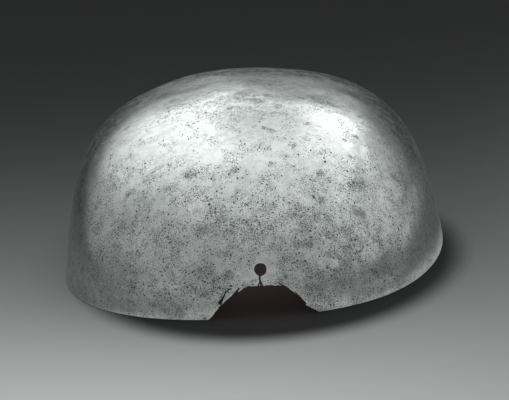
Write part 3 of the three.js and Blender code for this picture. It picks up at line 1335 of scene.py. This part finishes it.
@dataclass(frozen=True)
class StudioFloor:
    """Paper floor with painted light, pale in front of the cap and far to its right, and painted shade
    falling off round both parts.

    The real cap was held above its floor, so a painted shadow in front of the rim is shown to the camera's
    own rays alone, and the iron mirrors a paler floor of painted light there.
    """

    reach: float = 9.0
    sides: int = 96
    pale: Colour = (0.91, 0.92, 0.915, 1.0)
    # painted shade: the paper's colour away from the painted light
    painted_shade: Colour = (0.0055, 0.0055, 0.0055, 1.0)
    # painted light: pale patches that stand for light falling off over the floor
    painted_light_patches: tuple[PaintedLightPool, ...] = (
        PaintedLightPool((-0.15, -0.6, 0.0), 0.37, 7.4, 1.0),
        PaintedLightPool((0.9, 0.05, 0.0), 0.59, 22.0, 0.72),
    )
    # Painted shadow round the cap for the camera's rays, and painted light in its place for other rays.
    painted_shadow_middle: Point = (0.009, -0.019, 0.0)
    painted_shadow_sizes: Point = (0.086, 0.114, 1.0)
    painted_shadow_edge: Ramp = Ramp(1.04, 1.26, 0.05, 1.0)
    painted_light_in_reflections: Ramp = Ramp(1.04, 1.26, 0.4, 0.0)
    roughness: float = 0.9
    gloss: float = 0.1

    def build(self) -> bpy.types.Object:
        """Builds the floor as a flat disc.

        Returns:
            The floor.
        """
        turn = np.linspace(0, 2 * np.pi, self.sides, endpoint=False)
        rim = np.stack([np.cos(turn), np.sin(turn), np.zeros_like(turn)], axis=1) * self.reach
        mesh = closed_mesh("studio_floor", rim, [list(range(self.sides))])
        mesh.materials.append(self.paper())
        floor = placed("studio_floor", mesh)
        return floor

    def paper(self) -> bpy.types.Material:
        """Makes the paper. Its share of pale adds up level / (1 + e^(steepness x distance past)) over the
        patches of painted light, and the painted shadow is an oval round the cap that the camera's rays alone
        see; other rays meet painted light there.

        Returns:
            The material.
        """
        material, graph, shader, place = new_material("paper_with_painted_light")
        # Painted light: each pale patch falls off into painted shade.
        share = 0.0
        for pool in self.painted_light_patches:
            distance = graph.vector("DISTANCE", place, pool.middle, "Value")
            growth = graph.math("EXPONENT", graph.times(graph.less(distance, pool.reach), pool.steepness))
            level = graph.math("DIVIDE", pool.level, graph.plus(growth, 1.0))
            share = graph.plus(share, level, clamp=True)
        # Painted shadow: the paper darkens in an oval round the cap for camera rays; other rays meet a paler
        # floor of painted light.
        oval = graph.vector("DIVIDE", graph.vector("SUBTRACT", place, self.painted_shadow_middle), self.painted_shadow_sizes)
        reach = graph.vector("DISTANCE", oval, (0.0, 0.0, 0.0), "Value")
        seen = graph.times(share, graph.ramp(reach, self.painted_shadow_edge))
        reflected_with_painted_light = graph.plus(share, graph.ramp(reach, self.painted_light_in_reflections), clamp=True)
        eye = graph.add("ShaderNodeLightPath").outputs["Is Camera Ray"]
        share = graph.ramp(eye, Ramp(0.0, 1.0, reflected_with_painted_light, seen))
        graph.join(graph.blend(share, self.painted_shade, self.pale), shader.inputs["Base Color"])
        shader.inputs["Roughness"].default_value = self.roughness
        shader.inputs["Specular IOR Level"].default_value = self.gloss
        return material


@dataclass(frozen=True)
class CeilingPatch:
    """Soft bright patch of a ceiling one unit up: where it starts, is full, still is full, and ends."""

    across: Stops
    along: Stops
    level: float


@dataclass(frozen=True)
class StudioRoom:
    """Light of the room: a glow overhead, soft patches of ceiling, walls that are paler at the right and
    nearly dark behind the cap, and some light higher up behind it."""

    glow_level: float = 0.85
    glow_reach: float = 0.85
    horizon: float = 0.02
    walls: Ramp = Ramp(0.35, 0.95, 0.47, 0.05)
    rear_rise: Ramp = Ramp(0.12, 0.42)
    rear_turn: Ramp = Ramp(0.3, 0.9)
    rear_level: float = 0.22
    right_turn: Ramp = Ramp(0.35, 0.8)
    right_end: Ramp = Ramp(0.76, 0.93, 1.0, 0.0)
    right_level: float = 0.27
    tint: Colour = (0.965, 1.0, 0.99, 1.0)
    patches: tuple[CeilingPatch, ...] = (
        CeilingPatch((-3.2, -0.6, -0.16, 0.0), (-0.6, 0.8, 1.7, 5.5), 0.51),
        CeilingPatch((0.16, 0.45, 0.95, 1.45), (-0.4, 0.9, 1.8, 2.2), 0.72),
        CeilingPatch((0.9, 1.2, 1.6, 2.2), (-0.9, -0.3, 0.7, 1.3), 0.28),
        CeilingPatch((-1.0, -0.5, 0.95, 1.3), (-0.5, 0.6, 1.8, 2.2), 0.18),
        CeilingPatch((-0.95, -0.6, 0.95, 1.3), (1.35, 1.55, 1.75, 1.95), 0.5),
        CeilingPatch((-0.7, -0.2, 0.55, 0.8), (0.9, 1.1, 1.8, 2.4), 0.27),
        CeilingPatch((-1.6, -1.0, -0.5, -0.2), (3.5, 4.4, 5.0, 5.6), 0.6),
        CeilingPatch((0.1, 0.3, 0.7, 1.2), (2.3, 2.9, 3.8, 5.5), 0.2),
        CeilingPatch((-1.2, -0.3, 0.9, 1.8), (-2.4, -1.4, -0.9, -0.3), 0.14),
    )

    def build(self) -> None:
        """Makes the world: its brightness depends on where a direction meets a ceiling one unit up."""
        world = bpy.data.worlds.new("studio_room")
        bpy.context.scene.world = world
        world.use_nodes = True
        graph = Graph(world.node_tree)
        background = world.node_tree.nodes["Background"]
        way = graph.add("ShaderNodeTexCoord").outputs["Generated"]
        split = graph.add("ShaderNodeSeparateXYZ", {0: way})
        x, y, z = (split.outputs[name] for name in "XYZ")
        up = graph.math("MAXIMUM", z, self.horizon)
        across, along = graph.math("DIVIDE", x, up), graph.math("DIVIDE", y, up)
        distance = graph.math("SQRT", graph.plus(graph.times(across, across), graph.times(along, along)))
        glow = graph.math("EXPONENT", graph.math("DIVIDE", distance, -self.glow_reach))
        level = graph.times(glow, self.glow_level)
        for patch in self.patches:
            share = graph.times(self.band(graph, across, patch.across), self.band(graph, along, patch.along))
            level = graph.plus(level, graph.times(share, patch.level))
        level = graph.plus(level, graph.ramp(y, self.walls))
        rear = graph.times(graph.ramp(z, self.rear_rise), graph.ramp(y, self.rear_turn))
        level = graph.plus(level, graph.times(rear, self.rear_level))
        right = graph.times(graph.ramp(x, self.right_turn), graph.ramp(y, self.right_end))
        level = graph.plus(level, graph.times(right, self.right_level))
        graph.join(level, background.inputs["Strength"])
        background.inputs["Color"].default_value = self.tint

    def band(self, graph: Graph, value: bpy.types.NodeSocket, stops: Stops) -> bpy.types.NodeSocket:
        """Adds a smooth rise and fall of a value.

        Args:
            graph: Graph of the world.
            value: Socket to read.
            stops: Where it starts, is full, still is full, and ends.

        Returns:
            The share's socket.
        """
        start, full, still, end = stops
        rise, fall = Ramp(start, full), Ramp(still, end, 1.0, 0.0)
        return graph.times(graph.ramp(value, rise), graph.ramp(value, fall))


def way_towards(azimuth: float, elevation: float) -> Vector:
    """Gives the direction from the cap to a place round it.

    Args:
        azimuth: Degrees round from the front, 90 at the right.
        elevation: Degrees up.

    Returns:
        The unit vector.
    """
    around, up = math.radians(azimuth), math.radians(elevation)
    return Vector((math.sin(around) * math.cos(up), -math.cos(around) * math.cos(up), math.sin(up)))


@dataclass(frozen=True)
class SoftLight:
    """Round soft light that points at the middle of the rim from a direction."""

    name: str
    azimuth: float
    elevation: float
    distance: float
    size: float
    power: float
    colour: tuple[float, float, float] = (1.0, 1.0, 1.0)

    def build(self) -> bpy.types.Object:
        """Builds the light.

        Returns:
            The light's object.
        """
        data = bpy.data.lights.new(self.name, "AREA")
        data.shape = "DISK"
        data.size = self.size
        data.energy = self.power
        data.color = self.colour
        way = way_towards(self.azimuth, self.elevation)
        light = placed(self.name, data)
        light.location = way * self.distance
        light.rotation_euler = way.to_track_quat("Z", "Y").to_euler()
        return light


# The third light stands for what gets in under the rim where the photograph holds the cap above the floor.
SOFT_LIGHTS = (
    SoftLight("left_soft_light", -157, 48, 1.6, 0.75, 0.35),
    SoftLight("right_soft_light", 150, 42, 1.6, 0.65, 0.4),
    SoftLight("inner_soft_light", 0, 62, 0.085, 0.05, 0.088, (1.0, 0.78, 0.78)),
)


@dataclass(frozen=True)
class PhotoCamera:
    """Camera at the photograph's angle, which sees one point of the cap at a set pixel."""

    azimuth: float = 2.5
    elevation: float = 15.0
    roll: float = 4.5
    distance: float = 1.5
    pixels_per_mm: float = 1.8926
    frame_pixels: tuple[int, int] = (509, 400)
    aim_pixel: tuple[float, float] = (246.9, 161.3)
    aim_height: float = 50 * MM
    sensor: float = 36.0
    nearest: float = 0.05
    farthest: float = 50.0

    def build(self, middle: np.ndarray) -> bpy.types.Object:
        """Builds the camera: it looks at the aim point, leans by the roll, and then pans to the aim pixel.

        Args:
            middle: The oval's middle, in the frame.

        Returns:
            The camera's object.
        """
        data = bpy.data.cameras.new("photo_camera")
        focal_pixels = self.distance / MM * self.pixels_per_mm
        data.sensor_width = self.sensor
        data.lens = self.sensor * focal_pixels / self.frame_pixels[0]
        data.clip_start = self.nearest
        data.clip_end = self.farthest
        way = way_towards(self.azimuth, self.elevation)
        camera = placed("photo_camera", data)
        camera.location = Vector(middle) + Vector((0, 0, self.aim_height)) + way * self.distance
        right, down = (aim - size / 2 for aim, size in zip(self.aim_pixel, self.frame_pixels))
        lean = Euler((0, 0, -math.radians(self.roll))).to_quaternion()
        pan = Euler((math.atan(down / focal_pixels), math.atan(right / focal_pixels), 0)).to_quaternion()
        camera.rotation_mode = "QUATERNION"
        camera.rotation_quaternion = way.to_track_quat("Z", "Y") @ lean @ pan
        bpy.context.scene.camera = camera
        return camera


def main() -> None:
    """Builds the cap and its studio, and reports each piece."""
    logging.basicConfig(level=logging.INFO, format="%(name)s: %(message)s")
    groups = IronGroups(RustPits().group(), UnevenTone().group())
    materials = {
        Side.OUTSIDE: PolishedIron().make(groups),
        Side.INSIDE: RawIron().make(groups),
        Side.CUT: CutIron().make(groups),
    }
    maker = SkullBowl()
    bowl = maker.build(materials)
    LOG.info("%s has %d faces", bowl.name, len(bowl.data.polygons))
    LOG.info("%s laid", StudioFloor().build().name)
    StudioRoom().build()
    for light in SOFT_LIGHTS:
        LOG.info("%s hung", light.build().name)
    LOG.info("%s placed", PhotoCamera().build(maker.form.middle_against(*CAD_BOX)).name)
    bpy.context.scene.view_settings.view_transform = "Standard"


if __name__ == "__main__":
    main()
